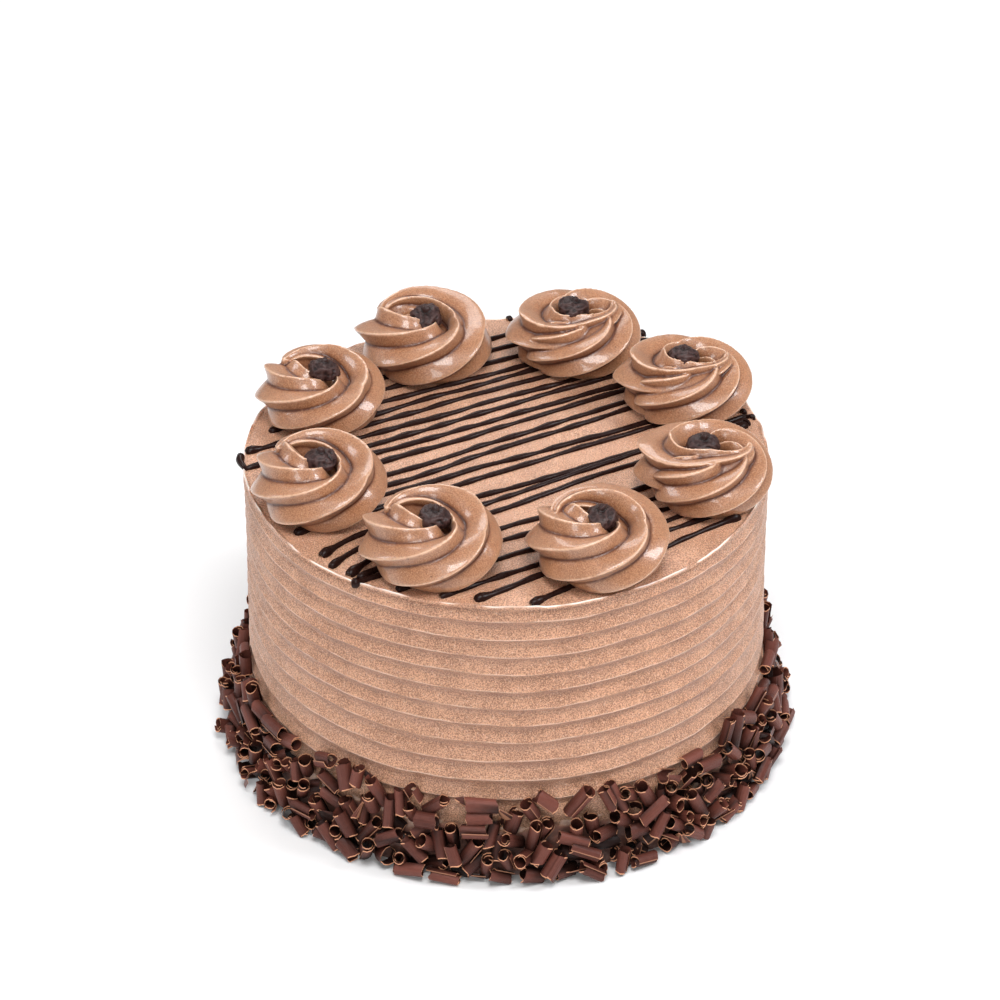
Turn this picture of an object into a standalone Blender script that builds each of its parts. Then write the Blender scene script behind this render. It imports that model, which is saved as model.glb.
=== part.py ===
"""A round buttercream layer cake with a combed side.

Its top has chocolate drizzle and eight piped rosettes, and its foot a heap of chocolate curls.

Units are metres, +Z is up, and the origin is the centre of the flat underside.
"""

import math
import random
from typing import NamedTuple

import bmesh
import bpy
from mathutils import Matrix, Vector

MM = 0.001
TURN = 2 * math.pi
# The gap left between pieces that rest on each other
GAP = 0.3 * MM

# The frosted body
TOP_RADIUS = 76.8 * MM
FOOT_RADIUS = 77.7 * MM
HEIGHT = 93.0 * MM
RIM_ROUND = 1.6 * MM
COMB_PITCH = 5.9 * MM
COMB_DEPTH = 0.8 * MM
COMB_LOW = 19.5 * MM
# Where the hollow between two ridges is deepest, as a share of the pitch
COMB_HOLLOW = 0.55
COMB_RIDGES = 12
BODY_SEGMENTS = 48

# The skirt of cream at the foot, which the curls are pressed into
SKIRT_RADIUS = 81.6 * MM
SKIRT_SHOULDER = 6.5 * MM
SKIRT_HEIGHT = 17.5 * MM

# The drizzle: thin strings piped back and forth across the top
STRING_WIDTH = 1.7 * MM
STRING_SIDES = 5
STRING_SINK = 0.3 * MM
ZIGZAG_SEED = 5
ZIGZAG_ANGLE = math.radians(32)
ZIGZAG_PITCH = 4.9 * MM
ZIGZAG_PASSES = 29
ZIGZAG_REACH = 73.5 * MM
ZIGZAG_WANDER = 1.0 * MM
ZIGZAG_LEAN = math.radians(1.6)
SHORTEST_PASS = 6.0 * MM
SHORTEST_STRING = 5.0 * MM
CLEAR_OF_ROSETTE = 1.2 * MM

# The rosettes
ROSETTE_HEIGHT = 17.5 * MM
ROSETTE_LOBES = 7
COLUMNS_PER_LOBE = 3
FLUTE_DEPTH = 2.6 * MM
ROSETTE_TWIST = math.radians(200)
TAIL_LIFT = 1.6 * MM

# The chocolate drop set in the middle of each rosette
DROP_RADIUS = 4.3 * MM
DROP_HEIGHT = 7.0 * MM
DROP_SEAT = 13.0 * MM
DROP_SIDES = 10
DROP_LEAN = math.radians(9)
# The dimple that it stands in, as a share of the rosette's radius
DIMPLE_SHARE = 0.26

# The chocolate curls: a rolled strip each
CURL_SEED = 11
CURL_WALL = 0.75 * MM
CURL_ARC_POINTS = 5
CURL_SINK = 0.7 * MM
CURL_RADII = (1.9 * MM, 2.6 * MM)
CURL_LENGTHS = (6.5 * MM, 10.0 * MM)
CURL_SWEEPS = (math.radians(235), math.radians(320))
# How far a curl may tip out of the skirt's surface and swing from upright
CURL_TIP = 0.4
CURL_SWING = 1.3
# How far a curl on the ground may swing from level
CURL_LEVEL_SWING = 0.15


class RosettePlace(NamedTuple):
    """Where a rosette is piped: azimuth and tail direction in degrees, ring radius and width in mm."""

    azimuth: float
    ring: float
    width: float
    tail: float

    def middle(self):
        """The rosette's middle on the cake's top."""
        angle = math.radians(self.azimuth)
        return Vector((math.cos(angle), math.sin(angle), 0)) * self.ring * MM


ROSETTES = (
    RosettePlace(azimuth=-110, ring=58.9, width=40.4, tail=172),
    RosettePlace(azimuth=-64, ring=61.2, width=40.4, tail=190),
    RosettePlace(azimuth=-19, ring=60.2, width=38.2, tail=4),
    RosettePlace(azimuth=27, ring=59.3, width=38.2, tail=10),
    RosettePlace(azimuth=70, ring=59.8, width=39.8, tail=20),
    RosettePlace(azimuth=114.5, ring=57.4, width=41.4, tail=178),
    RosettePlace(azimuth=157, ring=59.4, width=39.4, tail=168),
    RosettePlace(azimuth=207, ring=59.3, width=39.4, tail=166),
)


class CurlRow(NamedTuple):
    """A row of curls round the foot: how many there are, and the height of their middles in mm."""

    count: int
    height: float


CURL_ROWS = (CurlRow(38, 2.8), CurlRow(32, 7.6), CurlRow(22, 13.0), CurlRow(10, 19.5))

BUTTERCREAM = (0.56, 0.32, 0.21)
ROSETTE_CREAM = (0.52, 0.28, 0.175)
DARK_CHOCOLATE = (0.045, 0.022, 0.018)
MILK_CHOCOLATE = (0.10, 0.045, 0.032)


def clear_scene():
    """Removes whatever the opened file holds."""
    for old in list(bpy.data.objects):
        bpy.data.objects.remove(old)


def new_material(name, colour, roughness):
    """A Principled material of one colour."""
    made = bpy.data.materials.new(name)
    made.use_nodes = True
    shader = made.node_tree.nodes["Principled BSDF"]
    shader.inputs["Base Color"].default_value = (*colour, 1.0)
    shader.inputs["Roughness"].default_value = roughness
    shader.inputs["Metallic"].default_value = 0.0
    return made


def new_object(name, bm, material, collection=None):
    """A smooth-shaded object made of the bmesh, which is freed."""
    bmesh.ops.recalc_face_normals(bm, faces=bm.faces)
    mesh = bpy.data.meshes.new(name)
    bm.to_mesh(mesh)
    bm.free()
    mesh.materials.append(material)
    mesh.shade_smooth()
    mesh.set_sharp_from_angle(angle=math.radians(40))
    made = bpy.data.objects.new(name, mesh)
    (collection or bpy.context.scene.collection).objects.link(made)
    return made


def turned_shape(profile, segments):
    """A bmesh of an outline of radii and heights spun round the upright axis, where it starts and ends."""
    bm = bmesh.new()
    outline = [bm.verts.new((radius, 0, height)) for radius, height in profile]
    edges = [bm.edges.new(pair) for pair in zip(outline, outline[1:])]
    bmesh.ops.spin(
        bm,
        geom=outline + edges,
        cent=(0, 0, 0),
        axis=(0, 0, 1),
        angle=TURN,
        steps=segments,
        use_merge=True,
    )
    bmesh.ops.remove_doubles(bm, verts=bm.verts, dist=0.01 * MM)
    return bm


def drawn_out(bm, length):
    """Draws the bmesh's one face out along +Z into a closed bar."""
    made = bmesh.ops.extrude_face_region(bm, geom=bm.faces[:])
    lifted = [item for item in made["geom"] if isinstance(item, bmesh.types.BMVert)]
    bmesh.ops.translate(bm, verts=lifted, vec=(0, 0, length))


def wall_radius(height):
    """Radius of the cake's side at a height, without its comb and its skirt."""
    return FOOT_RADIUS + (TOP_RADIUS - FOOT_RADIUS) * height / HEIGHT


def skirt_radius(height):
    """Radius of the surface that the curls lie on, at a height."""
    if height < SKIRT_SHOULDER:
        return SKIRT_RADIUS
    share = min((height - SKIRT_SHOULDER) / (SKIRT_HEIGHT - SKIRT_SHOULDER), 1.0)
    return SKIRT_RADIUS + (wall_radius(height) - COMB_DEPTH - SKIRT_RADIUS) * share


def body_profile():
    """The body's outline as radii and heights, from the middle of its underside to the middle of its top."""
    points = [(0, 0)]
    points += [(skirt_radius(height), height) for height in (0, SKIRT_SHOULDER, SKIRT_HEIGHT)]
    for ridge in range(COMB_RIDGES):
        crest = COMB_LOW + ridge * COMB_PITCH
        valley = crest + COMB_PITCH * COMB_HOLLOW
        points += [(wall_radius(crest), crest), (wall_radius(valley) - COMB_DEPTH, valley)]
    points += [(TOP_RADIUS, HEIGHT - RIM_ROUND), (TOP_RADIUS - RIM_ROUND, HEIGHT), (0, HEIGHT)]
    return points


def build_body(material):
    """The frosted body: its outline spun round the upright axis."""
    return new_object("frosted_cake", turned_shape(body_profile(), BODY_SEGMENTS), material)


def drizzle_passes():
    """The straight passes of the drizzle, each as its two ends on the top, in the order they were piped."""
    draw = random.Random(ZIGZAG_SEED)
    along = Vector((math.cos(ZIGZAG_ANGLE), math.sin(ZIGZAG_ANGLE), 0))
    across = Vector((-along.y, along.x, 0))
    passes = []
    for number in range(ZIGZAG_PASSES):
        offset = (number - (ZIGZAG_PASSES - 1) / 2) * ZIGZAG_PITCH + draw.uniform(-1, 1) * ZIGZAG_WANDER
        step = along + across * math.tan(draw.uniform(-1, 1) * ZIGZAG_LEAN)
        reach = ZIGZAG_REACH + draw.uniform(-2.5, 0.5) * MM
        half = math.sqrt(max(reach**2 - offset**2, 0))
        if half > SHORTEST_PASS:
            passes.append((across * offset - step * half, across * offset + step * half))
    return passes


def clear_stretches(start, end):
    """The parts of a line across the top that no rosette covers, as pairs of ends."""
    run = end - start
    covered = []
    for place in ROSETTES:
        radius = place.width / 2 * MM + CLEAR_OF_ROSETTE
        nearest = (place.middle() - start).dot(run) / run.length_squared
        aside = (start + run * nearest - place.middle()).length
        if aside < radius:
            half = math.sqrt(radius**2 - aside**2) / run.length
            covered.append((nearest - half, nearest + half))
    stretches = []
    reached = 0.0
    for low, high in sorted(covered) + [(1.0, 1.0)]:
        if (low - reached) * run.length > SHORTEST_STRING:
            stretches.append((start + run * reached, start + run * low))
        reached = max(reached, high)
    return stretches


def add_string(start, end, material, collection):
    """One string of chocolate: a bar with few sides, sunk a little into the top."""
    run = end - start
    bm = bmesh.new()
    bmesh.ops.create_circle(bm, cap_ends=True, segments=STRING_SIDES, radius=STRING_WIDTH / 2)
    drawn_out(bm, run.length)
    turn = run.to_track_quat("Z", "Y").to_matrix().to_4x4()
    seat = start + Vector((0, 0, HEIGHT + STRING_SINK))
    bmesh.ops.transform(bm, matrix=Matrix.Translation(seat) @ turn, verts=bm.verts)
    new_object("string", bm, material, collection)


def add_drizzle(material, collection):
    """Every stretch of the drizzle that the rosettes leave in view."""
    for start, end in drizzle_passes():
        for low, high in clear_stretches(start, end):
            add_string(low, high, material, collection)


def curl_section(radius, sweep):
    """The rolled section of a curl: an outer arc and back along an inner one."""
    angles = [sweep * step / (CURL_ARC_POINTS - 1) for step in range(CURL_ARC_POINTS)]
    outer = [(radius * math.cos(a), radius * math.sin(a), 0) for a in angles]
    within = radius - CURL_WALL
    inner = [(within * math.cos(a), within * math.sin(a), 0) for a in reversed(angles)]
    return outer + inner


def add_curl(azimuth, height, draw, material, collection):
    """One curl, lying on the skirt at an azimuth and a height, turned at random and sunk a little into it."""
    radius = draw.uniform(*CURL_RADII)
    length = draw.uniform(*CURL_LENGTHS)
    upright = Matrix.Rotation(azimuth, 4, "Z")
    tipped = Matrix.Rotation(draw.uniform(-CURL_TIP, CURL_TIP), 4, "Y")
    swung = Matrix.Rotation(draw.uniform(-CURL_SWING, CURL_SWING), 4, "X")
    rolled = Matrix.Rotation(draw.uniform(0, TURN), 4, "Z")
    if height < 2 * radius:
        swung = Matrix.Rotation(math.pi / 2 + draw.uniform(-CURL_LEVEL_SWING, CURL_LEVEL_SWING), 4, "X")
    lie = tipped @ swung
    along = lie.col[2].xyz
    outward = abs(along.x) * length / 2 + math.sqrt(1 - along.x**2) * radius
    upward = abs(along.z) * length / 2 + math.sqrt(1 - along.z**2) * radius
    level = max(height, upward + GAP)
    place = upright @ Vector((skirt_radius(level) + outward - CURL_SINK, 0, level))
    bm = bmesh.new()
    bm.faces.new([bm.verts.new(corner) for corner in curl_section(radius, draw.uniform(*CURL_SWEEPS))])
    bmesh.ops.translate(bm, verts=bm.verts, vec=(0, 0, -length / 2))
    drawn_out(bm, length)
    bmesh.ops.transform(bm, matrix=Matrix.Translation(place) @ upright @ lie @ rolled, verts=bm.verts)
    new_object("curl", bm, material, collection)


def add_curls(material, collection):
    """The heap of curls round the foot, row by row, spread evenly and turned at random."""
    draw = random.Random(CURL_SEED)
    for row in CURL_ROWS:
        for number in range(row.count):
            azimuth = TURN * (number + draw.uniform(-0.3, 0.3)) / row.count
            height = (row.height + draw.uniform(-1.0, 1.0)) * MM
            add_curl(azimuth, height, draw, material, collection)


def linked_shell(first):
    """Every vertex that edges join to the first one."""
    shell = {first}
    front = [first]
    while front:
        for edge in front.pop().link_edges:
            for vert in edge.verts:
                if vert not in shell:
                    shell.add(vert)
                    front.append(vert)
    return shell


def keep_largest_shell(obj):
    """Drops loose scraps and the shells of sealed hollows."""
    bm = bmesh.new()
    bm.from_mesh(obj.data)
    left = set(bm.verts)
    largest = set()
    while left:
        shell = linked_shell(next(iter(left)))
        left -= shell
        largest = max(largest, shell, key=len)
    bmesh.ops.delete(bm, geom=[vert for vert in bm.verts if vert not in largest], context="VERTS")
    bm.to_mesh(obj.data)
    bm.free()


def fuse(body, collection):
    """Joins every object of the collection to the body, then removes them."""
    union = body.modifiers.new("Union", "BOOLEAN")
    union.operation = "UNION"
    union.operand_type = "COLLECTION"
    union.collection = collection
    union.solver = "EXACT"
    depsgraph = bpy.context.evaluated_depsgraph_get()
    joined = bpy.data.meshes.new_from_object(body.evaluated_get(depsgraph))
    body.modifiers.remove(union)
    body.data = joined
    for piece in list(collection.objects):
        bpy.data.objects.remove(piece)
    bpy.data.collections.remove(collection)
    keep_largest_shell(body)


class SwirlRing(NamedTuple):
    """One ring of a rosette: radius and height as shares of the whole, flute depth and turn from 0 to 1."""

    radius: float
    height: float
    flute: float
    turn: float


SWIRL = (
    SwirlRing(0.84, 0.0, 0.4, 0.0),
    SwirlRing(0.98, 0.17, 0.9, 0.08),
    SwirlRing(1.0, 0.4, 1.0, 0.18),
    SwirlRing(0.94, 0.65, 1.0, 0.3),
    SwirlRing(0.81, 0.86, 1.0, 0.44),
    SwirlRing(0.64, 0.98, 0.8, 0.6),
    SwirlRing(0.48, 1.0, 0.55, 0.76),
    SwirlRing(0.35, 0.93, 0.3, 0.9),
    SwirlRing(DIMPLE_SHARE, (DROP_SEAT - GAP) / ROSETTE_HEIGHT, 0.0, 1.0),
)


def swirl_points(place, ring):
    """The corners of one ring of a rosette, with a ridge at every third one."""
    tail = math.radians(place.tail)
    columns = ROSETTE_LOBES * COLUMNS_PER_LOBE
    points = []
    for column in range(columns):
        hollow = (1 - math.cos(TURN * column / COLUMNS_PER_LOBE)) / 2
        angle = tail + TURN * column / columns + ring.turn * ROSETTE_TWIST
        reach = ring.radius * place.width / 2 * MM - hollow * FLUTE_DEPTH * ring.flute
        lift = TAIL_LIFT * math.cos(angle - tail) * ring.flute * ring.height
        rise = HEIGHT + GAP + ring.height * ROSETTE_HEIGHT + lift
        points.append(place.middle() + Vector((reach * math.cos(angle), reach * math.sin(angle), rise)))
    return points


def build_rosette(number, place, material):
    """One piped rosette: rings of a fluted star, each turned a little further than the one below it."""
    bm = bmesh.new()
    rings = [[bm.verts.new(point) for point in swirl_points(place, ring)] for ring in SWIRL]
    bm.faces.new(rings[0])
    bm.faces.new(rings[-1])
    for low, high in zip(rings, rings[1:]):
        for corner in range(len(low)):
            bm.faces.new((low[corner - 1], low[corner], high[corner], high[corner - 1]))
    bmesh.ops.triangulate(bm, faces=bm.faces, quad_method="SHORT_EDGE")
    return new_object(f"rosette_{number}", bm, material)


def build_drop(number, place, material):
    """One chocolate drop with a small point, standing in its rosette's dimple and leaning its own way."""
    profile = ((0.0, 0.0), (0.86, 0.0), (1.0, 0.22), (0.9, 0.48), (0.58, 0.72), (0.24, 0.88), (0.0, 1.0))
    outline = [(radius * DROP_RADIUS, height * DROP_HEIGHT) for radius, height in profile]
    drop = new_object(f"chocolate_drop_{number}", turned_shape(outline, DROP_SIDES), material)
    clear = DROP_RADIUS * math.sin(DROP_LEAN) + GAP
    drop.location = place.middle() + Vector((0, 0, HEIGHT + DROP_SEAT + clear))
    heading = 2.4 * number
    drop.rotation_euler = (DROP_LEAN * math.cos(heading), DROP_LEAN * math.sin(heading), 0)
    return drop


def main():
    """Builds the whole cake."""
    clear_scene()
    buttercream = new_material("buttercream", BUTTERCREAM, 0.55)
    rosette_cream = new_material("rosette_cream", ROSETTE_CREAM, 0.45)
    dark_chocolate = new_material("dark_chocolate", DARK_CHOCOLATE, 0.4)
    milk_chocolate = new_material("milk_chocolate", MILK_CHOCOLATE, 0.5)

    toppings = bpy.data.collections.new("toppings")
    bpy.context.scene.collection.children.link(toppings)
    body = build_body(buttercream)
    add_drizzle(dark_chocolate, toppings)
    add_curls(milk_chocolate, toppings)
    fuse(body, toppings)

    for number, place in enumerate(ROSETTES, start=1):
        build_rosette(number, place, rosette_cream)
        build_drop(number, place, dark_chocolate)


main()
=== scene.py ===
"""Looks of a round buttercream layer cake.

The side is combed, the top has a chocolate drizzle and eight piped rosettes with a chocolate drop each,
and chocolate curls lie heaped round the foot. Units are metres, +Z is up, and the origin is the centre
of the cake's underside.
"""

import logging
import math
import random
from collections.abc import Callable
from dataclasses import dataclass, field
from enum import Enum
from functools import cached_property

import bmesh
import bpy
import numpy as np
from mathutils import Matrix, Vector, noise

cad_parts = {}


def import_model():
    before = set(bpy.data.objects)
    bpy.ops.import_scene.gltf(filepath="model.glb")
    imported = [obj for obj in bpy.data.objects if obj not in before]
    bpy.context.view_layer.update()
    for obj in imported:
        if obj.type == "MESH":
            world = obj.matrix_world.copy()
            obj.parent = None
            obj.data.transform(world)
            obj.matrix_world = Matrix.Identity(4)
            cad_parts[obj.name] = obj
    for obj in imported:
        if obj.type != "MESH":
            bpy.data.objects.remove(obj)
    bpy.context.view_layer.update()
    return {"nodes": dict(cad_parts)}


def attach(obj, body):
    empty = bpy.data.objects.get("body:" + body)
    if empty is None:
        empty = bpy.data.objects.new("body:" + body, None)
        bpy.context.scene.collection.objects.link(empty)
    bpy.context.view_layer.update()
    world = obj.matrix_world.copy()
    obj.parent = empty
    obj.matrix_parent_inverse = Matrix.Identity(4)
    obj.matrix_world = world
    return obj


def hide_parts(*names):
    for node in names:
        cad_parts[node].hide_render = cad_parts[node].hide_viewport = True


log = logging.getLogger("layer_cake")

MM = 0.001
TURN = 2 * math.pi
BODY = "root"
# Vertices nearer to each other than this are one
WELD = 0.01 * MM

Colour = tuple[float, float, float]
Rule = Callable[[float, float], Vector]


def mix(low: float, high: float, share: float) -> float:
    """The value a share of the way from low to high."""
    return low + (high - low) * share


def eased(value: float, low: float, high: float) -> float:
    """How far value has come from low to high, from 0 to 1, starting and ending gently."""
    share = min(max((value - low) / (high - low), 0.0), 1.0)
    return share * share * (3 - 2 * share)


def wander(seed: float, *places: float) -> float:
    """Smooth noise from about -1 to 1 that changes with up to two places.

    Args:
        seed: Which noise it is.
        places: Where it is read; one unit is about one bump.

    Returns:
        The noise there.
    """
    point = Vector((seed * 7.31, 0.0, 0.0))
    for axis, place in enumerate(places, start=1):
        point[axis] += place
    return noise.noise(point) * 1.6


def round_place(radius: float, angle: float, height: float) -> Vector:
    """The point at a radius, an angle round the upright axis and a height."""
    return Vector((radius * math.cos(angle), radius * math.sin(angle), height))


def clouds(place: Vector, across: float, up: float) -> float:
    """Smooth noise in space whose bumps are that many metres across and up."""
    return noise.noise(Vector((place.x / across, place.y / across, place.z / up)))


class Value:
    """A shader socket that takes part in sums and products, each of which adds its Math node."""

    def __init__(self, graph: "Graph", socket: bpy.types.NodeSocket) -> None:
        """Wraps the socket of a node in the graph."""
        self.graph = graph
        self.socket = socket

    def _math(self, operation: str, *terms: "Value | float") -> "Value":
        """The output of a Math node that works on the terms."""
        sockets = dict(enumerate(terms))
        return self.graph.node("ShaderNodeMath", {"operation": operation}, sockets, "Value")

    def __add__(self, other: "Value | float") -> "Value":
        """The sum."""
        return self._math("ADD", self, other)

    def __radd__(self, other: float) -> "Value":
        """The sum."""
        return self._math("ADD", other, self)

    def __sub__(self, other: "Value | float") -> "Value":
        """The difference."""
        return self._math("SUBTRACT", self, other)

    def __rsub__(self, other: float) -> "Value":
        """The difference from a number."""
        return self._math("SUBTRACT", other, self)

    def __mul__(self, other: "Value | float") -> "Value":
        """The product."""
        return self._math("MULTIPLY", self, other)

    def __rmul__(self, other: float) -> "Value":
        """The product."""
        return self._math("MULTIPLY", other, self)

    def between(self, low: float, high: float) -> "Value":
        """The value carried from the range 0 to 1 to the range low to high."""
        return self * (high - low) + low

    def clamped(self) -> "Value":
        """Keeps the value from 0 to 1.

        Returns:
            The clamped value.
        """
        made = self._math("ADD", self, 0.0)
        made.socket.node.use_clamp = True
        return made

    def stepped(self, low: float, high: float) -> "Value":
        """Makes a smooth step of the value.

        Args:
            low: Where the step is still 0.
            high: Where it has become 1.

        Returns:
            The step.
        """
        settings = {"interpolation_type": "SMOOTHSTEP", "clamp": True}
        sockets = {"Value": self, "From Min": low, "From Max": high}
        return self.graph.node("ShaderNodeMapRange", settings, sockets, "Result")


class Graph:
    """The node tree of one material, with its Principled shader."""

    def __init__(self, name: str) -> None:
        """Makes the material and finds its shader.

        Args:
            name: The material's name.
        """
        self.material = bpy.data.materials.new(name)
        self.material.use_nodes = True
        self.tree = self.material.node_tree
        self.shader = self.tree.nodes["Principled BSDF"]

    def feed(self, node: bpy.types.Node, sockets: dict) -> None:
        """Sets a node's sockets.

        Args:
            node: The node.
            sockets: Socket name or number to a Value, which is linked, or a plain value.
        """
        for key, given in sockets.items():
            if isinstance(given, Value):
                self.tree.links.new(given.socket, node.inputs[key])
            else:
                node.inputs[key].default_value = given

    def node(self, kind: str, settings: dict, sockets: dict, output: str | int = 0) -> Value:
        """Adds a node.

        Args:
            kind: The node's type.
            settings: Attributes of the node, which are set first.
            sockets: What its sockets take.
            output: Which output is returned.

        Returns:
            The output, wrapped.
        """
        made = self.tree.nodes.new(kind)
        for key, given in settings.items():
            setattr(made, key, given)
        self.feed(made, sockets)
        return Value(self, made.outputs[output])

    def place(self) -> Value:
        """The point on the piece, in metres."""
        return self.node("ShaderNodeTexCoord", {}, {}, "Object")

    def attribute(self, name: str) -> Value:
        """A number kept on the mesh under that name."""
        return self.node("ShaderNodeAttribute", {"attribute_name": name}, {}, "Fac")

    def noise(self, size: float, detail: float = 2.0, roughness: float = 0.5) -> Value:
        """Cloudy noise from 0 to 1 whose bumps are about that size in metres."""
        sockets = {"Vector": self.place(), "Scale": 1 / size, "Detail": detail, "Roughness": roughness}
        return self.node("ShaderNodeTexNoise", {}, sockets, 0)

    def specks(self, spacing: float, radius: float, share: float) -> Value:
        """Scattered round specks: 1 inside one and 0 elsewhere.

        Args:
            spacing: How far apart they could lie at the least, in metres.
            radius: How large they are, in metres.
            share: How many of the possible places hold one, from 0 to 1.

        Returns:
            The mask.
        """
        sockets = {"Vector": self.place(), "Scale": 1 / spacing, "Randomness": 1.0}
        cells = self.node("ShaderNodeTexVoronoi", {"feature": "F1"}, sockets, "Distance")
        chance = self.node("ShaderNodeTexVoronoi", {"feature": "F1"}, sockets, "Color")
        lot = self.node("ShaderNodeSeparateColor", {}, {"Color": chance}, "Red")
        near = radius / spacing
        return (1.0 - cells.stepped(near * 0.6, near)) * lot.stepped(1 - share, 1.001 - share)

    def streaks(self) -> Value:
        """Fine lines along a curl, where the mesh keeps how far round its sheet a point lies.

        Returns:
            The lines' height, from 0 to 1.
        """
        sockets = {"X": self.attribute("round"), "Y": self.attribute("tint") * 40.0}
        across = self.node("ShaderNodeCombineXYZ", {}, sockets, "Vector")
        return self.node("ShaderNodeTexNoise", {}, {"Vector": across, "Scale": 1.0, "Detail": 2.0}, 0)

    def blend(self, share: Value, low: "Value | Colour", high: "Value | Colour") -> Value:
        """Mixes two colours.

        Args:
            share: How much of the second one there is, from 0 to 1.
            low: The first colour.
            high: The second colour.

        Returns:
            The mixed colour.
        """
        sockets = {0: share}
        for key, given in ((6, low), (7, high)):
            sockets[key] = given if isinstance(given, Value) else (*given, 1.0)
        return self.node("ShaderNodeMix", {"data_type": "RGBA"}, sockets, 2)

    def bump(self, height: Value, depth: float) -> Value:
        """A normal tilted by a height map whose full range is depth metres."""
        sockets = {"Strength": 1.0, "Distance": depth, "Height": height}
        return self.node("ShaderNodeBump", {}, sockets, "Normal")


@dataclass(frozen=True)
class CreamFinish:
    """Buttercream: a soft satin fat with fine air pits and a few dark specks."""

    name: str
    colour: Colour
    deep_colour: Colour
    # shade_colour is painted shade; pale_colour colours the sandy grains and the painted highlights on ridges
    shade_colour: Colour
    pale_colour: Colour
    roughness: float
    grain: float
    sandiness: float
    gloss: float
    speck_colour: Colour = (0.12, 0.05, 0.03)
    # Painted highlight colour on the lip and the brightest crests
    gleam_colour: Colour = (0.98, 0.90, 0.82)
    # Painted deep shade: the darkest creases and the foot behind the curls
    deep_shade_colour: Colour = (0.03, 0.011, 0.007)

    def material(self) -> bpy.types.Material:
        """Builds the cream's material.

        Returns:
            The material.
        """
        graph = Graph(self.name)
        cloud = graph.noise(9 * MM, detail=3)
        sand = graph.noise(0.36 * MM, detail=1, roughness=0.6)
        mottle = cloud * 0.2 + sand * 0.8
        tone = graph.blend(mottle.stepped(0.38, 0.62), self.deep_colour, self.colour)
        grains = graph.specks(0.9 * MM, 0.25 * MM, 0.4)
        tone = graph.blend(grains * self.sandiness, tone, self.pale_colour)
        crease = graph.attribute("crease")
        hollow = graph.attribute("hollow")
        # Painted highlights on broad ridges, thin ridges, crests and the lip
        tone = graph.blend(((hollow - 0.5) * 0.4).clamped(), tone, self.pale_colour)
        tone = graph.blend(crease.stepped(0.64, 1.08), tone, self.pale_colour)
        tone = graph.blend(crease.stepped(1.0, 1.35), tone, self.gleam_colour)
        # Painted shade in creases, hollows and the comb bands, turning to the deep shade colour where darkest
        shade = (0.5 - crease) * 1.6 + (0.5 - hollow) * 1.8
        tone = graph.blend(shade.clamped(), tone, self.shade_colour)
        tone = graph.blend((shade - 1.0).clamped(), tone, self.deep_shade_colour)
        pits = graph.specks(1.7 * MM, 0.26 * MM, 0.3)
        dots = graph.specks(3.3 * MM, 0.3 * MM, 0.35)
        tone = graph.blend(dots * 0.75, tone, self.speck_colour)
        coat = (1.0 - shade.clamped()) * self.gloss if self.gloss else 0.0
        fine = graph.noise(0.5 * MM, detail=3, roughness=0.6)
        height = fine * 0.5 + graph.noise(2.2 * MM) * 0.8 - pits * 0.9
        graph.feed(
            graph.shader,
            {
                "Base Color": tone,
                "Roughness": graph.noise(5 * MM).between(self.roughness - 0.06, self.roughness + 0.08),
                "Normal": graph.bump(height, self.grain),
                "Specular IOR Level": 0.5,
                "Coat Weight": coat,
                "Coat Roughness": 0.08,
                "Subsurface Weight": 0.15,
                "Subsurface Radius": (1.0, 0.45, 0.25),
                "Subsurface Scale": 1.0 * MM,
                "Sheen Weight": 0.18 - 0.2 * self.gloss,
                "Sheen Roughness": 0.45,
                "Sheen Tint": (1.0, 0.86, 0.82, 1.0),
            },
        )
        return graph.material


@dataclass(frozen=True)
class ChocolateFinish:
    """Chocolate: dark, with a dull or a wet skin, painted highlights on thin rims and ridges, and painted
    shade in hollows.
    """

    name: str
    colour: Colour
    pale_colour: Colour
    edge_highlight_colour: Colour
    roughness: float
    grain: float
    grain_size: float
    shine: float
    shade_colour: Colour = (0.005, 0.002, 0.0015)

    def material(self) -> bpy.types.Material:
        """Builds the chocolate's material.

        Returns:
            The material.
        """
        graph = Graph(self.name)
        lines = graph.streaks()
        share = graph.attribute("tint") * 0.5 + graph.noise(1.2 * MM, detail=3) * 0.35 + lines * 0.35 - 0.08
        tone = graph.blend(share.clamped(), self.colour, self.pale_colour)
        # Painted shade from the mesh's shade numbers, then painted highlight on rims and ridges
        tone = graph.blend(graph.attribute("shade"), tone, self.shade_colour)
        tone = graph.blend(graph.attribute("edge"), tone, self.edge_highlight_colour)
        height = graph.noise(self.grain_size, detail=4, roughness=0.65) * 0.6 + lines * 0.7
        graph.feed(
            graph.shader,
            {
                "Base Color": tone,
                "Roughness": graph.noise(2 * MM).between(self.roughness - 0.08, self.roughness + 0.08),
                "Normal": graph.bump(height, self.grain),
                "Specular IOR Level": self.shine,
            },
        )
        return graph.material


@dataclass(frozen=True)
class FloorFinish:
    """A plain pale floor."""

    colour: Colour = (0.86, 0.86, 0.86)

    def material(self) -> bpy.types.Material:
        """Builds the floor's material.

        Returns:
            The material.
        """
        graph = Graph("studio_floor")
        graph.feed(graph.shader, {"Base Color": (*self.colour, 1.0), "Roughness": 0.8})
        return graph.material


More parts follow.
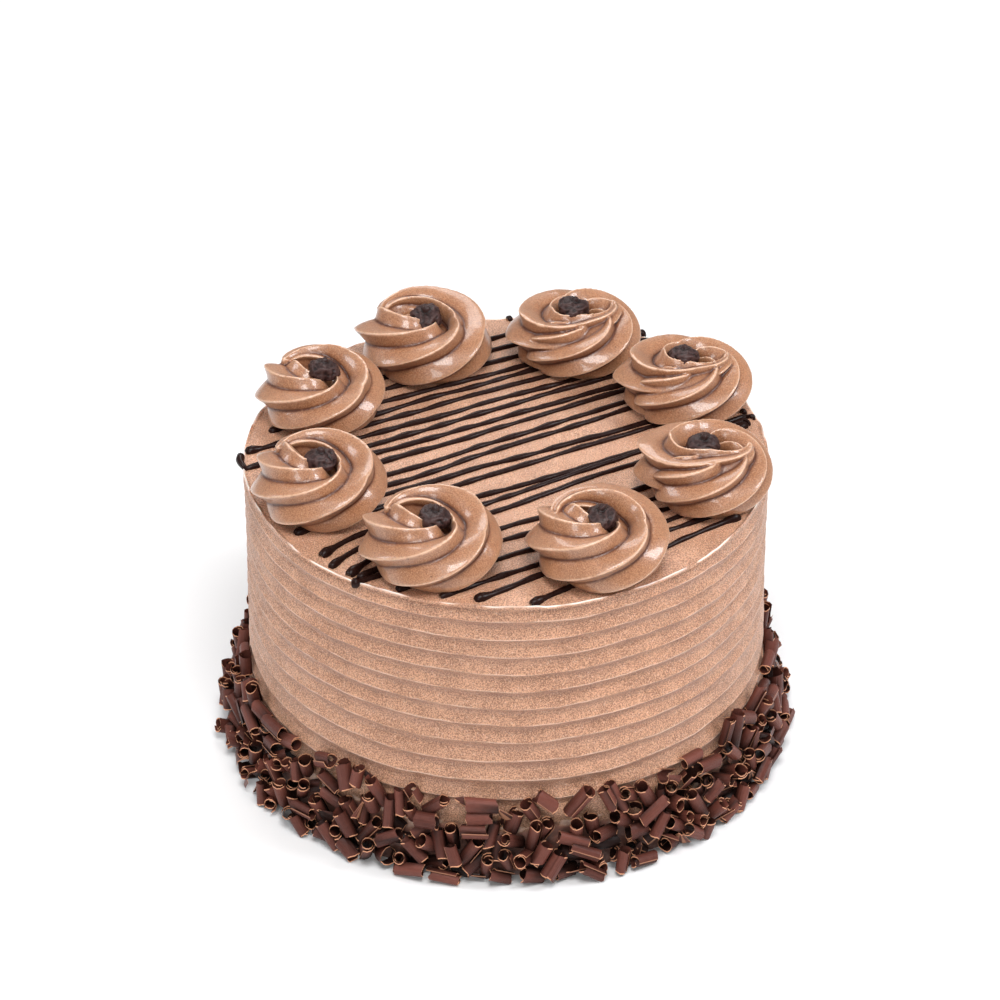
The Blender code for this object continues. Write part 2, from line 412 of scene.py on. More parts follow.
SIDE_CREAM = CreamFinish(
    name="buttercream",
    colour=(0.655, 0.362, 0.228),
    deep_colour=(0.285, 0.137, 0.080),
    shade_colour=(0.26, 0.118, 0.086),
    pale_colour=(0.80, 0.56, 0.44),
    roughness=0.42,
    grain=0.32 * MM,
    sandiness=0.5,
    gloss=0.0,
)
PIPED_CREAM = CreamFinish(
    name="piped_buttercream",
    colour=(0.435, 0.205, 0.104),
    deep_colour=(0.275, 0.115, 0.053),
    shade_colour=(0.10, 0.028, 0.011),
    pale_colour=(0.70, 0.44, 0.295),
    roughness=0.34,
    grain=0.16 * MM,
    sandiness=0.25,
    gloss=0.5,
)
DRIZZLE_CHOCOLATE = ChocolateFinish(
    name="drizzle_chocolate",
    colour=(0.009, 0.003, 0.002),
    pale_colour=(0.026, 0.009, 0.007),
    edge_highlight_colour=(0.03, 0.013, 0.011),
    roughness=0.28,
    grain=0.06 * MM,
    grain_size=0.8 * MM,
    shine=0.14,
)
CURL_CHOCOLATE = ChocolateFinish(
    name="curl_chocolate",
    colour=(0.050, 0.0135, 0.0095),
    pale_colour=(0.215, 0.069, 0.049),
    edge_highlight_colour=(0.78, 0.37, 0.21),
    roughness=0.42,
    grain=0.24 * MM,
    grain_size=0.6 * MM,
    shine=0.2,
)
DROP_CHOCOLATE = ChocolateFinish(
    name="drop_chocolate",
    colour=(0.017, 0.0065, 0.0055),
    pale_colour=(0.042, 0.018, 0.017),
    edge_highlight_colour=(0.11, 0.058, 0.052),
    roughness=0.40,
    grain=0.22 * MM,
    grain_size=0.7 * MM,
    shine=0.28,
)


def shaped_grid(stations: int, columns: int, rule: Rule, ends_closed: bool = False) -> bmesh.types.BMesh:
    """A grid bent by a rule.

    Args:
        stations: Faces along it.
        columns: Faces across it, or round it where the rule brings its long sides together.
        rule: Takes the places along and across, both from 0 to 1, and gives the point there.
        ends_closed: Whether open ends are filled.

    Returns:
        The new bmesh, with what meets merged and its faces pointing outwards.
    """
    bm = bmesh.new()
    bmesh.ops.create_grid(bm, x_segments=stations, y_segments=columns, size=0.5)
    for vert in bm.verts:
        vert.co = rule(vert.co.x + 0.5, vert.co.y + 0.5)
    bmesh.ops.remove_doubles(bm, verts=bm.verts, dist=WELD)
    if ends_closed:
        bmesh.ops.holes_fill(bm, edges=bm.edges, sides=0)
    bmesh.ops.recalc_face_normals(bm, faces=bm.faces)
    return bm


def mesh_piece(
    name: str, bm: bmesh.types.BMesh, material: bpy.types.Material, sharp: float = 60
) -> bpy.types.Object:
    """Makes a smooth-shaded piece of a bmesh, which is freed.

    Args:
        name: The piece's name.
        bm: Its shape, in place.
        material: Its finish.
        sharp: Edges that bend by more than this many degrees stay sharp.

    Returns:
        The piece, in the scene.
    """
    mesh = bpy.data.meshes.new(name)
    bm.to_mesh(mesh)
    bm.free()
    mesh.materials.append(material)
    mesh.shade_smooth()
    mesh.set_sharp_from_angle(angle=math.radians(sharp))
    made = bpy.data.objects.new(name, mesh)
    bpy.context.scene.collection.objects.link(made)
    return made


def settle(piece: bpy.types.Object, slot: str, *nodes: str) -> None:
    """Makes a piece ride on the cake and lets it stand for CAD nodes.

    Args:
        piece: The piece.
        slot: The slot of its material; not used.
        nodes: The nodes that it replaces.
    """
    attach(piece, BODY)
    if nodes:
        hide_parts(*nodes)


def point_numbers(piece: bpy.types.Object, name: str, numbers: np.ndarray) -> None:
    """Keeps a number for each vertex of a piece under a name that its material reads."""
    attribute = piece.data.attributes.new(name, "FLOAT", "POINT")
    attribute.data.foreach_set("value", numbers.astype(np.float32))


def crease_numbers(mesh: bpy.types.Mesh, rounds: int, reach: float) -> np.ndarray:
    """How far each vertex stands out of or lies in from a smoothed copy of the mesh.

    Args:
        mesh: The mesh.
        rounds: How often the copy is smoothed; more rounds find wider creases.
        reach: The height in metres that counts as a full ridge or crease.

    Returns:
        0 in a crease, 0.5 on a flat place and 1 on a ridge, one for each vertex.
    """
    count = len(mesh.vertices)
    places, normals = np.zeros(count * 3), np.zeros(count * 3)
    mesh.vertices.foreach_get("co", places)
    mesh.vertices.foreach_get("normal", normals)
    places, normals = places.reshape(-1, 3), normals.reshape(-1, 3)
    pairs = np.zeros(len(mesh.edges) * 2, dtype=np.int64)
    mesh.edges.foreach_get("vertices", pairs)
    near, far = pairs[::2], pairs[1::2]
    owners, others = np.concatenate((near, far)), np.concatenate((far, near))
    degree = np.bincount(owners, minlength=count).clip(1)
    smooth = places
    for _ in range(rounds):
        sums = [np.bincount(owners, weights=smooth[others, axis], minlength=count) for axis in range(3)]
        smooth = np.stack(sums, axis=1) / degree[:, None]
    height = ((places - smooth) * normals).sum(axis=1)
    return (height / reach / 2 + 0.5).clip(0, 1)


@dataclass(frozen=True)
class Ripple:
    """Smooth noise on the side of the cake.

    Attributes:
        size: What it swings between, up and down: metres, or a plain share.
        waves: How fine it is round the cake; 1 gives about six bumps.
        pitch: How far apart its bumps are up the side, in metres.
        shift: Sets it apart from another one, in bumps.
    """

    size: float
    waves: float
    pitch: float
    shift: tuple[float, float, float] = (0.0, 0.0, 0.0)

    def at(self, angle: float, height: float) -> float:
        """The noise at an angle round the cake and a height."""
        spot = Vector((math.cos(angle) * self.waves, math.sin(angle) * self.waves, height / self.pitch))
        return self.size * noise.noise(spot + Vector(self.shift))


def rippled(layers: tuple[Ripple, ...], angle: float, height: float) -> float:
    """The sum of some ripples at an angle round the cake and a height."""
    return sum(layer.at(angle, height) for layer in layers)


@dataclass
class FrostedBody:
    """The frosted cake without its toppings: a combed side, a flat top with a thin lip, and a rough foot."""

    height: float = 92.85 * MM
    top_radius: float = 76.8 * MM
    foot_radius: float = 77.7 * MM
    comb_top: float = 88.1 * MM
    comb_pitch: float = 5.96 * MM
    comb_growth: float = 1.0 * MM
    growth_from: int = 7
    ridges: int = 12
    comb_depth: float = 1.15 * MM
    comb_fade: tuple[float, float] = (17 * MM, 27 * MM)
    skirt_radius: float = 79.6 * MM
    skirt_height: float = 17 * MM
    lip_height: float = 0.75 * MM
    bulge: float = 2.4 * MM
    bulge_angle: float = math.radians(48)
    segments: int = 360
    # Where the outline has its points between two ridges, as shares of the way down
    row_shares: tuple[float, ...] = (
        0.0, 0.035, 0.1, 0.18, 0.27, 0.34, 0.41, 0.48, 0.56, 0.68, 0.8, 0.9, 0.965
    )
    groove_floor: float = 0.34
    second_share: float = 0.48
    second_width: float = 0.08
    second_depth: float = 0.22 * MM
    band_shade: float = 0.2
    foot_rows: int = 16
    top_rings: int = 26
    # The rim's outline in mm, out from the side and up from the top
    lip: tuple[tuple[float, float], ...] = (
        (0.0, -0.7), (-0.05, -0.25), (-0.25, 0.02), (-0.55, 0.0), (-0.95, -0.1), (-1.6, -0.04)
    )
    lip_reach: float = 2.4 * MM
    lip_inset: float = 0.35 * MM
    rim_band: float = 1.0 * MM
    lump_fade: tuple[float, float] = (10 * MM, 24 * MM)
    bulge_spread: float = 0.33
    waves: tuple[Ripple, ...] = (Ripple(0.55 * MM, 2.1, 40 * MM), Ripple(0.16 * MM, 5, 9 * MM))
    lumps: tuple[Ripple, ...] = (Ripple(1.1 * MM, 14, 5.5 * MM), Ripple(0.45 * MM, 35, 2.2 * MM))
    droop: tuple[Ripple, ...] = (
        Ripple(1.0 * MM, 1.7, 30 * MM, (9, 0, 0)),
        Ripple(0.45 * MM, 7, 7 * MM),
        Ripple(0.16 * MM, 24, 5 * MM),
    )
    cut_change: Ripple = Ripple(0.5, 3, 6 * MM)
    torn_ridge: Ripple = Ripple(0.16 * MM, 40, 2 * MM)
    torn_groove: Ripple = Ripple(0.22 * MM, 4, 0.9 * MM)
    second_gaps: Ripple = Ripple(1.0, 3.1, 5 * MM, (0, 0, 7))
    lip_gaps: Ripple = Ripple(1.0, 6, 1.0, (0, 0, 3.3))
    top_wave: float = 0.25 * MM
    top_wave_width: float = 22 * MM

    def level(self, ridge: float) -> float:
        """Height of a comb ridge, counted from 0 at the top."""
        return self.comb_top - self.comb_pitch * ridge - self.comb_growth * max(0.0, ridge - self.growth_from)

    def wall(self, height: float) -> float:
        """Radius of the side at a height, without its comb."""
        return mix(self.foot_radius, self.top_radius, height / self.height)

    def surface(self, height: float) -> float:
        """Radius of the surface that the curls lie on, at a height."""
        lean = 1 - eased(height, 4 * MM, self.skirt_height)
        return mix(self.wall(height), self.skirt_radius, lean)

    def groove(self, share: float) -> float:
        """How deep the comb cuts between two ridges.

        Args:
            share: How far down the place is from one ridge to the next, from 0 to 1.

        Returns:
            0 on a ridge, 1 where the cut is deepest.
        """
        if share < self.groove_floor:
            return math.sin(math.pi / 2 * share / self.groove_floor)
        return math.cos(math.pi / 2 * (share - self.groove_floor) / (1 - self.groove_floor))

    def second_line(self, share: float) -> float:
        """1 on the fainter line that runs between two comb ridges, 0 away from it."""
        return max(1 - abs(share - self.second_share) / self.second_width, 0.0)

    def side_rows(self) -> list[tuple[float, float]]:
        """Lays out the side's outline.

        Returns:
            Heights and shares of the way down to the next ridge, from the foot up.
        """
        rows = []
        for ridge in range(self.ridges - 1, -2, -1):
            rows += [(self.level(ridge + share), share) for share in reversed(self.row_shares)]
        return [row for row in rows if row[0] < self.height - 1.2 * MM]

    def profile(self) -> list[Vector]:
        """Lays out the whole outline.

        Returns:
            Points from the middle of the underside to the middle of the top; Y is the share between ridges.
        """
        points = [Vector((0, 0, 0)), Vector((self.skirt_radius * 0.6, 0, 0))]
        low = self.level(self.ridges)
        foot = [low * row / self.foot_rows for row in range(self.foot_rows)]
        points += [Vector((self.surface(height), 0, height)) for height in foot]
        points += [Vector((self.surface(height), share, height)) for height, share in self.side_rows()]
        points += [Vector((self.top_radius + out * MM, 0, self.height + up * MM)) for out, up in self.lip]
        inner = self.top_radius - self.lip_reach
        radii = [inner * (1 - ring / self.top_rings) for ring in range(self.top_rings + 1)]
        points += [Vector((radius, 0, self.height)) for radius in radii]
        return points

    def unevenness(self, place: Vector, cut: float, second: float) -> Vector:
        """Where a point of the even shape goes.

        Args:
            place: The point.
            cut: How deep the comb cuts there, from 0 to 1.
            second: How near it is to the comb's second, fainter line, from 0 to 1.

        Returns:
            The point with the comb's cuts, waves, lumps, lip and bulge.
        """
        radius = math.hypot(place.x, place.y)
        height = place.z
        if radius < 1 * MM or height < 0.01 * MM:
            return place
        spot = (math.atan2(place.y, place.x), height)
        depth = self.comb_depth * (1 + self.cut_change.at(*spot)) * eased(height, *self.comb_fade)
        turned = math.remainder(spot[0] - self.bulge_angle, TURN) / self.bulge_spread
        swell = math.exp(-(turned**2)) * eased(height / self.height, 0.72, 0.97) * self.bulge
        torn = self.torn_ridge.at(*spot) * (1 - cut) + self.torn_groove.at(*spot) * cut
        doubled = eased(self.second_gaps.at(*spot), -0.05, 0.3)
        out = rippled(self.waves, *spot) - depth * cut + swell + torn - self.second_depth * doubled * second
        out += rippled(self.lumps, *spot) * (1 - eased(height, *self.lump_fade))
        if height < self.height - self.rim_band:
            return round_place(radius + out, spot[0], height + rippled(self.droop, *spot))
        crown = math.exp(-(((self.top_radius - self.lip_inset - radius) / (0.3 * MM)) ** 2))
        rise = self.lip_height * eased(self.lip_gaps.at(spot[0], 0), -0.15, 0.3) * crown
        wide = self.top_wave_width
        rise += self.top_wave * noise.noise(Vector((place.x / wide, place.y / wide, 5.0)))
        near_rim = eased(radius, self.top_radius - 6 * MM, self.top_radius - 1 * MM)
        return round_place(radius + out * near_rim, spot[0], height + rise)

    def build(self, material: bpy.types.Material) -> bpy.types.Object:
        """Spins the outline round the upright axis and roughens it.

        Args:
            material: Its finish.

        Returns:
            The frosting.
        """
        bm = bmesh.new()
        shares = bm.verts.layers.float.new("share")
        outline = []
        for point in self.profile():
            vert = bm.verts.new((point.x, 0, point.z))
            vert[shares] = point.y
            outline.append(vert)
        edges = [bm.edges.new(pair) for pair in zip(outline, outline[1:])]
        bmesh.ops.spin(
            bm,
            geom=outline + edges,
            cent=(0, 0, 0),
            axis=(0, 0, 1),
            angle=TURN,
            steps=self.segments,
            use_merge=True,
        )
        bmesh.ops.remove_doubles(bm, verts=bm.verts, dist=WELD)
        bmesh.ops.recalc_face_normals(bm, faces=bm.faces)
        # Numbers for the painted highlights on crests and the painted shade in hollows, read by the cream's
        # material
        crest = np.array([self.crest(vert.co, vert[shares]) for vert in bm.verts])
        hollow = np.array([self.hollow(vert.co, vert[shares]) for vert in bm.verts])
        for vert in bm.verts:
            vert.co = self.unevenness(vert.co, self.groove(vert[shares]), self.second_line(vert[shares]))
        piece = mesh_piece("frosting", bm, material)
        point_numbers(piece, "crease", crest)
        point_numbers(piece, "hollow", hollow)
        return piece

    def crest(self, place: Vector, share: float) -> float:
        """How much painted highlight a point gets as a crest.

        Args:
            place: The point of the even shape.
            share: How far down it is from one comb ridge to the next, from 0 to 1.

        Returns:
            0.5 on plain cream, up to 1 on a ridge and in patches on the lumps at the foot, up to 1.7 on the
            lip.
        """
        radius = math.hypot(place.x, place.y)
        # Painted highlight along the lip, with gaps
        if place.z > self.height - 0.9 * MM:
            on_lip = 1 - min(abs(radius - self.top_radius + self.lip_inset) / (0.4 * MM), 1.0)
            unbroken = eased(noise.noise(Vector((place.x, place.y, 3.3)) * 0.11 / MM), -0.3, 0.05)
            return 0.5 + 1.2 * on_lip * unbroken
        if place.z < self.comb_fade[0]:
            # Painted highlight in patches on the lumps at the foot
            foot_highlight = eased(clouds(place, 5 * MM, 2.5 * MM), 0.0, 0.3)
            return 0.5 + 0.5 * foot_highlight * eased(place.z, 9 * MM, 14 * MM)
        if radius < self.top_radius - 1.2 * MM:
            return 0.5
        # Painted highlight along each comb ridge
        strength = 0.8 + 0.7 * clouds(place, MM / 0.12, MM / 0.12)
        ridge = max(1 - share / 0.09, 1 - (1 - share) / 0.07, 0.0)
        return 0.5 + 0.5 * ridge * eased(place.z, *self.comb_fade) * min(strength, 1.0)

    def hollow(self, place: Vector, share: float) -> float:
        """How deep a point lies in shade.

        Args:
            place: The point of the even shape.
            share: How far down it is from one comb ridge to the next, from 0 to 1.

        Returns:
            0.5 on plain cream, less in the band under a comb ridge, and below 0 behind the curls.
        """
        if math.hypot(place.x, place.y) < self.top_radius - 1.2 * MM:
            return 0.5
        combed = eased(place.z, *self.comb_fade)
        # Painted shade in the band under each comb ridge and along the fainter second line
        band = eased(share, 0.0, 0.08) * (1 - eased(share, 0.30, 0.48)) * combed
        streak = clouds(place, MM / 0.03, 1.1 * MM)
        patch = clouds(place, MM / 0.07, MM / 0.21)
        # Painted shade behind the curls, dark enough to reach the deep shade colour
        behind = 1 - eased(place.z + patch * 5 * MM, 11 * MM, 18 * MM)
        faint = 0.10 * self.second_line(share) * eased(patch, -0.1, 0.3) * combed
        return 0.5 - self.band_shade * band * (0.75 + 0.6 * patch + 0.5 * streak) - faint - 0.85 * behind


class Stroke(Enum):
    """How the last stroke of a rosette is piped."""

    HOOK = "round behind the drop and off to the left"
    FAN = "across the front to a peak at the right"


@dataclass(frozen=True)
class RosettePlace:
    """Where and how one rosette is piped.

    Attributes:
        azimuth: Its direction from the cake's middle, in degrees.
        ring: Its distance from the cake's middle in mm.
        width: Its width in mm.
        tail: The direction in degrees in which its tail was pulled away.
        turns: How many times the nozzle went round.
        height: Its height in mm.
        first_ridge: How far round the rope the first ridge starts, in turns.
        stroke: How its last stroke is piped.
    """

    azimuth: float
    ring: float
    width: float
    tail: float
    turns: float = 1.08
    height: float = 18.0
    first_ridge: float = 0.07
    stroke: Stroke = Stroke.HOOK

    def middle(self) -> Vector:
        """The rosette's middle on the level of the underside."""
        return round_place(self.ring * MM, math.radians(self.azimuth), 0)


ROSETTES = (
    RosettePlace(azimuth=-110, ring=58.9, width=40.8, tail=170, turns=1.07, first_ridge=0.06),
    RosettePlace(azimuth=-64, ring=61.2, width=40.8, tail=186, turns=1.12, first_ridge=0.02),
    RosettePlace(azimuth=-19, ring=60.6, width=39.4, tail=4, turns=1.48, first_ridge=0.09, stroke=Stroke.FAN),
    RosettePlace(azimuth=27, ring=59.8, width=39.4, tail=12, turns=1.50, first_ridge=0.04, stroke=Stroke.FAN),
    RosettePlace(azimuth=69, ring=59.0, width=39.8, tail=30, turns=1.55, height=17, stroke=Stroke.FAN),
    RosettePlace(azimuth=114.5, ring=57.4, width=42.0, tail=176, turns=1.06, first_ridge=0.10),
    RosettePlace(azimuth=157.5, ring=58.4, width=39.6, tail=158, turns=1.05, first_ridge=0.03, height=16.6),
    RosettePlace(azimuth=206.5, ring=58.8, width=39.8, tail=164, turns=1.08, first_ridge=0.07),
)


@dataclass
class Rosette:
    """One piped rosette: a fluted rope laid in one tight turn, from a round start to a drawn-out tail."""

    place: RosettePlace
    number: int
    base: float
    ridge_round: float = 0.05
    columns_per_lobe: int = 16
    stations: int = 240
    flute_depth: float = 0.31
    ridge_lean: float = 0.10
    climb: float = 0.84
    foot_spread: float = 0.42
    fold: float = 1.0
    slow_from: float = 0.50
    tail_climb: float = 0.25
    fan_climb: float = 0.14
    corner: float = 0.645
    corner_flare: float = 0.09
    # Shares of the rope's length: its round start, where its tail begins and where its tip does
    start_length: float = 0.07
    tail_from: float = 0.62
    tip_from: float = 0.96
    # Shares of the rosette's radius: the rope's own radius, and how far out it lies
    hook_ropes: tuple[float, float] = (0.60, 0.50)
    fan_ropes: tuple[float, float] = (0.50, 0.58)
    hook_rings: tuple[float, float, float] = (0.50, 0.46, 0.66)
    fan_rings: tuple[float, float, float] = (0.50, 0.34, 0.62)
    hook_taper: float = 0.82
    fan_taper: float = 0.88
    sink: float = 0.4 * MM
    voxel: float = 0.33 * MM

    def lobes(self) -> int:
        """How many ridges the nozzle's star makes."""
        return 7 if self.place.stroke is Stroke.FAN else 6

    def rope_radius(self, along: float) -> float:
        """Radius of the rope.

        Args:
            along: The place along it, from its start at 0 to its tail at 1.

        Returns:
            The radius as a share of the rosette's.
        """
        start = math.sqrt(max(1 - (1 - min(along / self.start_length, 1.0)) ** 2, 0))
        if self.place.stroke is Stroke.FAN:
            full = mix(*self.fan_ropes, eased(along, 0.44, self.corner))
            tail = 1 - self.fan_taper * max(along - self.corner, 0.0) / (1 - self.corner)
        else:
            full = mix(*self.hook_ropes, eased(along, 0.0, 0.4))
            tail = 1 - self.hook_taper * eased(along, self.tail_from, 1.02)
        tip = math.sqrt(max(1 - (max(along - self.tip_from, 0.0) / (1 - self.tip_from)) ** 2, 0))
        swell = 1 + 0.04 * wander(self.number, along * 5)
        return full * start * tail * max(tip, 0.05) * swell

    def path_radius(self, along: float) -> float:
        """How far the rope's middle is from the rosette's middle.

        Args:
            along: The place along the rope, from 0 to 1.

        Returns:
            The distance as a share of the rosette's radius.
        """
        if self.place.stroke is Stroke.FAN:
            ring = mix(*self.fan_rings[:2], eased(along, self.corner, 0.80))
            return mix(ring, self.fan_rings[2], eased(along, 0.82, 1.0))
        ring = mix(*self.hook_rings[:2], eased(along, 0.0, 0.5))
        return mix(ring, self.hook_rings[2], eased(along, self.tail_from, 1.0))

    def star(self, round_share: float) -> float:
        """Radius of the nozzle's star.

        Args:
            round_share: The place round it, from 0 to 1.

        Returns:
            The radius as a share of its largest.
        """
        from_ridge = abs((round_share * self.lobes() + 0.5) % 1.0 - 0.5) * 2
        from_ridge = math.hypot(from_ridge, self.ridge_round) - self.ridge_round * from_ridge
        hollow = 1 - (1 - from_ridge) ** 1.7
        crease = 0.10 * math.exp(-(((1 - from_ridge) / 0.16) ** 2))
        return 1 - self.flute_depth * (hollow + crease)

    def twist(self, along: float) -> float:
        """How far the ridges have climbed round the rope: less and less towards the tail.

        Args:
            along: The place along the rope, from 0 to 1.

        Returns:
            The climb in turns of the rope.
        """
        slowed = max(along - self.slow_from, 0.0)
        slow_climb = self.fan_climb if self.place.stroke is Stroke.FAN else self.tail_climb
        return self.place.turns * self.climb * (along - slowed + slowed * slow_climb)

    def point(self, along: float, round_share: float) -> Vector:
        """Finds a point of the rope's skin.

        Args:
            along: The place along the rope, from 0 to 1.
            round_share: The place round it, from 0 to 1.

        Returns:
            The point, in place on the cake.
        """
        size = self.place.width * MM / 2
        angle = math.radians(self.place.tail) + TURN * self.place.turns * (along - 1)
        rel = TURN * (round_share - self.twist(along) + self.place.first_ridge)
        beside_drop = math.exp(-((math.remainder(rel + 0.45, TURN) / 0.75) ** 2))
        passing = eased(along, 0.30, 0.48) * (1 - eased(along, 0.72, 0.95))
        star = 1 - (1 - self.star(round_share)) * (1 + self.fold * beside_drop * passing)
        spin = TURN * round_share
        lumps = Vector((along * 9 + self.number * 5.0, math.cos(spin) * 1.5, math.sin(spin) * 1.5))
        uneven = 1 + 0.05 * noise.noise(lumps)
        rel += self.ridge_lean * (star - 1) * 4
        rim = self.rope_radius(along) * star * uneven
        if self.place.stroke is Stroke.FAN:
            ridge = max(star - 1 + self.flute_depth, 0.0) / self.flute_depth
            rim *= 1 + self.corner_flare * ridge * math.exp(-(((along - self.corner) / 0.03) ** 2))
        height = self.place.height * MM
        lift = height * (0.47 + 0.40 * eased(along, 0.55, 1.0) + 0.06 * eased(along, 0.97, 1.0))
        below = max(-math.cos(rel), 0.0)
        spread = max(rim, mix(rim, self.foot_spread * star, below))
        out = size * (mix(self.path_radius(along), 0.5, below) + spread * math.sin(rel))
        up = max(lift + height * rim * 1.02 * math.cos(rel), -self.sink)
        if below:
            up = max(lift - (lift + 2 * self.sink) * below, -self.sink)
        return self.place.middle() + round_place(out, angle, self.base + up)

    def build(self, material: bpy.types.Material) -> bpy.types.Object:
        """Sweeps the star along its turn, then melts the rope into one skin.

        Args:
            material: Its finish.

        Returns:
            The rosette.
        """
        columns = self.lobes() * self.columns_per_lobe
        bm = shaped_grid(self.stations, columns, self.point, ends_closed=True)
        rope = mesh_piece("rope", bm, material)
        remesh = rope.modifiers.new("melt", "REMESH")
        remesh.mode = "VOXEL"
        remesh.voxel_size = self.voxel
        remesh.use_smooth_shade = True
        melted = bpy.data.meshes.new_from_object(rope.evaluated_get(bpy.context.evaluated_depsgraph_get()))
        bpy.data.objects.remove(rope)
        bm = bmesh.new()
        bm.from_mesh(melted)
        bmesh.ops.smooth_vert(
            bm, verts=bm.verts, factor=0.5, use_axis_x=True, use_axis_y=True, use_axis_z=True
        )
        piece = mesh_piece(f"piped_rosette_{self.number}", bm, material, sharp=180)
        # Painted highlights on the ridges and painted shade in the creases and valleys
        point_numbers(piece, "crease", crease_numbers(piece.data, 3, 0.10 * MM))
        point_numbers(piece, "hollow", crease_numbers(piece.data, 70, 0.75 * MM))
        return piece


@dataclass
class ChocolateDrop:
    """A chocolate drop with a wrinkled skin, set point up in a rosette."""

    place: RosettePlace
    number: int
    base: float
    radius: float = 4.7 * MM
    height: float = 6.2 * MM
    seat: float = 13.2 * MM
    fan_lift: float = 1.3 * MM
    fan_shift: float = -1.0 * MM
    lean: float = math.radians(12)
    # Shares of the radius and the height, from the middle of the underside to the tip
    outline: tuple[tuple[float, float], ...] = (
        (0.0, 0.0), (0.7, 0.0), (0.96, 0.14), (1.0, 0.32), (0.95, 0.5),
        (0.80, 0.66), (0.54, 0.75), (0.27, 0.80), (0.17, 0.95), (0.0, 1.04),
    )

    def silhouette(self, along: float) -> tuple[float, float]:
        """Finds a place on the outline.

        Args:
            along: The place along it, from 0 to 1.

        Returns:
            Its radius and height, both as shares.
        """
        reach = along * (len(self.outline) - 1)
        low = min(int(reach), len(self.outline) - 2)
        share = reach - low
        return tuple(mix(a, b, share) for a, b in zip(self.outline[low], self.outline[low + 1]))

    def point(self, along: float, round_share: float) -> Vector:
        """Finds a point of the wrinkled skin, before the drop is set in place.

        Args:
            along: The place along the outline, from 0 to 1.
            round_share: The place round it, from 0 to 1.

        Returns:
            The point.
        """
        out, up = self.silhouette(along)
        angle = TURN * round_share
        spot = Vector((out * math.cos(angle), out * math.sin(angle), up * 1.4 + self.number * 5.0))
        warp = noise.noise(spot * 0.8) * 1.2
        dent = noise.noise(spot * 0.9 + Vector((3.0, 0.0, 0.0)))
        wrinkle = 0.25 - abs(noise.noise(spot * 1.35 + Vector((warp, warp, warp))))
        fine = 0.2 - abs(noise.noise(spot * 4.0))
        skin = (0.18 * dent + 0.22 * wrinkle + 0.09 * fine) * min(1.0, (1 - abs(2 * along - 1)) * 4)
        return round_place(self.radius * out * (1 + skin), angle, self.height * (up + skin * 0.6 * up))

    def build(self, material: bpy.types.Material) -> bpy.types.Object:
        """Turns the outline, wrinkles it and sets the drop in its rosette.

        Args:
            material: Its finish.

        Returns:
            The drop.
        """
        bm = shaped_grid(40, 56, self.point)
        draw = random.Random(self.number + 40)
        heading = draw.uniform(0, TURN)
        lean = Matrix.Rotation(self.lean * draw.uniform(0.3, 1.0), 4, round_place(1, heading, 0))
        seat = self.place.middle() + Vector((0, 0, self.base + self.seat))
        if self.place.stroke is Stroke.FAN:
            seat += Vector((self.fan_shift, 0, self.fan_lift))
        bmesh.ops.transform(bm, matrix=Matrix.Translation(seat) @ lean, verts=bm.verts)
        piece = mesh_piece(f"drop_{self.number}", bm, material, sharp=180)
        point_numbers(piece, "tint", np.full(len(piece.data.vertices), draw.uniform(0.2, 0.8)))
        # Painted highlight on the wrinkles' ridges and painted shade in their creases
        creases = crease_numbers(piece.data, 4, 0.12 * MM)
        point_numbers(piece, "edge", (creases - 0.6).clip(0, 1))
        point_numbers(piece, "shade", (1 - creases * 2).clip(0, 1))
        return piece


@dataclass(frozen=True)
class DrizzlePass:
    """One pass of the piping bag, in mm.

    Attributes:
        left: How far aside its left end lies, across the drizzle's run.
        right: The same of its right end.
        reach: How far its left end is from the cake's middle.
        hook: How far its left end bends aside.
        joined: Whether a wide turn over the rim joins it to the pass before.
    """

    left: float
    right: float
    reach: float = 74.0
    hook: float = 0.0
    joined: bool = False


DRIZZLE_PASSES = (
    DrizzlePass(66.0, 67.6),
    DrizzlePass(60.5, 58.0),
    DrizzlePass(55.0, 52.0),
    DrizzlePass(50.0, 44.5, reach=71),
    DrizzlePass(44.5, 38.4, reach=72),
    DrizzlePass(34.0, 31.6, reach=66),
    DrizzlePass(37.5, 36.6, reach=78),
    DrizzlePass(29.5, 25.3, reach=76, joined=True),
    DrizzlePass(24.0, 22.6, reach=69),
    DrizzlePass(18.7, 16.8, reach=69),
    DrizzlePass(12.9, 14.2, reach=68),
    DrizzlePass(6.5, 8.2, reach=70),
    DrizzlePass(1.2, 5.0, reach=69),
    DrizzlePass(-1.0, -5.7, reach=70),
    DrizzlePass(-7.6, -7.0, reach=74),
    DrizzlePass(-15.5, -17.6, reach=74.5, hook=-6),
    DrizzlePass(-22.3, -15.6, reach=75.5, hook=-5.5),
    DrizzlePass(-27.5, -20.0, reach=76, hook=-6),
    DrizzlePass(-31.5, -35.5, reach=75, hook=-4),
    DrizzlePass(-37.0, -42.0, reach=77),
    DrizzlePass(-45.7, -47.6, reach=77),
    DrizzlePass(-54.0, -51.8, reach=76),
    DrizzlePass(-60.0, -55.4, reach=75),
    DrizzlePass(-69.5, -59.8, reach=76),
)
# Short strings and drips beside the passes, as start and end points in mm
DRIPS = (
    ((69.8, 21.8), (71.4, 23.6)),
    ((70.9, 15.4), (72.1, 17.0)),
    ((69.8, -20.8), (71.2, -18.8)),
    ((40.2, 66.5), (42.7, 68.8)),
    ((0.2, 74.6), (2.6, 76.6)),
)


